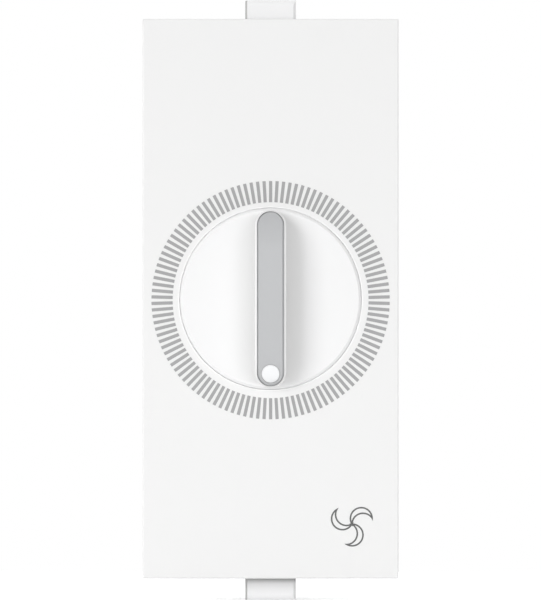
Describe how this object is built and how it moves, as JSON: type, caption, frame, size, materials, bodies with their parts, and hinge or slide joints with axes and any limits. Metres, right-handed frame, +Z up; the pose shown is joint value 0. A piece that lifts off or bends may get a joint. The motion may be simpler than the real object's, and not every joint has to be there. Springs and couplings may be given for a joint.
{
  "type": "fan speed control switch",
  "caption": "One-module white fan speed switch: square front plate with a ring of fine marks, flush round knob with a crowned grip bar, spring catches and rear terminals.",
  "frame": {"origin": "on the knob's axis, in the plane of the front of the support frame's lip, against which the front hooks of the catches lie", "axes": "+Z up, the plate's long direction; +X to the right seen from the front; the front faces -Y and the terminals are at +Y"},
  "size_m": [0.0226, 0.0343, 0.0529],
  "materials": {
    "white_plastic": "satin",
    "housing_plastic": "satin",
    "grey_print": "matte",
    "grey_plastic": "satin",
    "pointer_white": "satin",
    "spring_steel": "polished",
    "spindle_plastic": "satin",
    "switch_plastic": "matte",
    "contact_brass": "satin",
    "plated_steel": "satin",
    "board_laminate": "satin",
    "capacitor_case": "satin",
    "resistor_coat": "satin"
  },
  "bodies": {
    "switch_case": {"front_plate": "white_plastic", "dial_marks": "grey_print", "rear_housing": "housing_plastic", "switch_cover": "switch_plastic", "switch_base": "switch_plastic", "switch_rivets": "plated_steel", "common_contact": "contact_brass", "contact_off": "contact_brass", "contact_1": "contact_brass", "contact_2": "contact_brass", "contact_3": "contact_brass", "contact_4": "contact_brass", "contact_5": "contact_brass", "detent_spring": "spring_steel", "circuit_board": "board_laminate", "capacitor_large": "capacitor_case", "capacitor_small": "capacitor_case", "bleed_resistor": "resistor_coat", "surge_resistor_1": "resistor_coat", "surge_resistor_2": "resistor_coat", "terminal_bar_live": "contact_brass", "terminal_bar_load": "contact_brass"},
    "knob": {"knob_body": "white_plastic", "knob_inlay": "grey_plastic", "pointer_dot": "pointer_white", "knob_grip_clip": "spring_steel", "switch_spindle": "spindle_plastic", "spindle_ring": "spring_steel", "wiper_contact": "contact_brass"},
    "screw_live": {"terminal_screw_live": "plated_steel"},
    "screw_load": {"terminal_screw_load": "plated_steel"},
    "cage_live": {"terminal_cage_live": "plated_steel"},
    "cage_load": {"terminal_cage_load": "plated_steel"}
  },
  "joints": [
    {"name": "knob_turn", "type": "hinge", "parent": "switch_case", "child": "knob", "pos_m": [0, 0, 0], "axis": [0, 1, 0], "range_deg": [0, 300], "deforming": ["detent_spring"]},
    {"name": "terminal_screw_live", "type": "hinge", "parent": "switch_case", "child": "screw_live", "pos_m": [-0.0054, 0.02, -0.0162], "axis": [0, -1, 0], "range_deg": [0, 1080]},
    {"name": "terminal_cage_live", "type": "slide", "parent": "switch_case", "child": "cage_live", "axis": [0, 1, 0], "range_m": [0, 0.0015]},
    {"name": "terminal_screw_load", "type": "hinge", "parent": "switch_case", "child": "screw_load", "pos_m": [0.0054, 0.02, -0.0162], "axis": [0, -1, 0], "range_deg": [0, 1080]},
    {"name": "terminal_cage_load", "type": "slide", "parent": "switch_case", "child": "cage_load", "axis": [0, 1, 0], "range_m": [0, 0.0015]}
  ],
  "couplings": [
    {"joint": "terminal_screw_live", "follows": "terminal_cage_live", "rad_per_m": 12566},
    {"joint": "terminal_screw_load", "follows": "terminal_cage_load", "rad_per_m": 12566}
  ]
}
